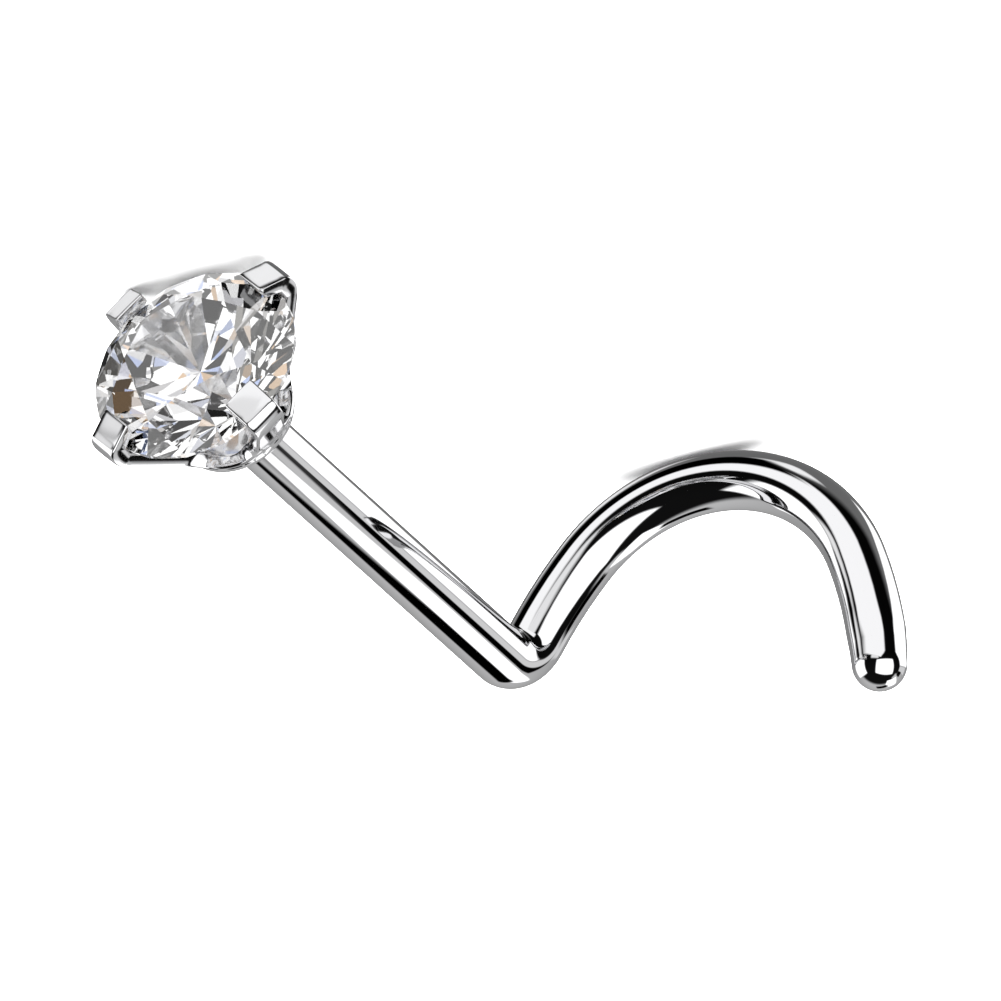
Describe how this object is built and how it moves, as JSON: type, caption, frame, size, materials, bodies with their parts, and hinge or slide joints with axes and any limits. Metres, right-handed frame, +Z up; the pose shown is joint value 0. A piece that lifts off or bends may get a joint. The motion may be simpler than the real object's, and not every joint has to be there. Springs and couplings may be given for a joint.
{
  "type": "nose screw stud",
  "caption": "Push-fit nose stud: a claw-set round brilliant stone on a thin pin that presses into a hollow wire post, which bends sharply into an open curled hook.",
  "frame": {"origin": "the middle of the footprint, on the surface that the stud lies on", "axes": "+Z up; the shank lies along Y with the stone towards -Y and the bend towards +Y; the hook curls over towards -X"},
  "size_m": [0.007, 0.01, 0.0041],
  "materials": {
    "post_metal": "polished",
    "setting_metal": "polished",
    "stone": "polished"
  },
  "bodies": {
    "top": {"prong_setting": "setting_metal", "stone": "stone"},
    "post": {"screw_post": "post_metal"}
  },
  "joints": [
    {"name": "post_pull", "type": "slide", "parent": "top", "child": "post", "axis": [0, 0.9949, 0.1009], "range_m": [0, 0.004]}
  ]
}
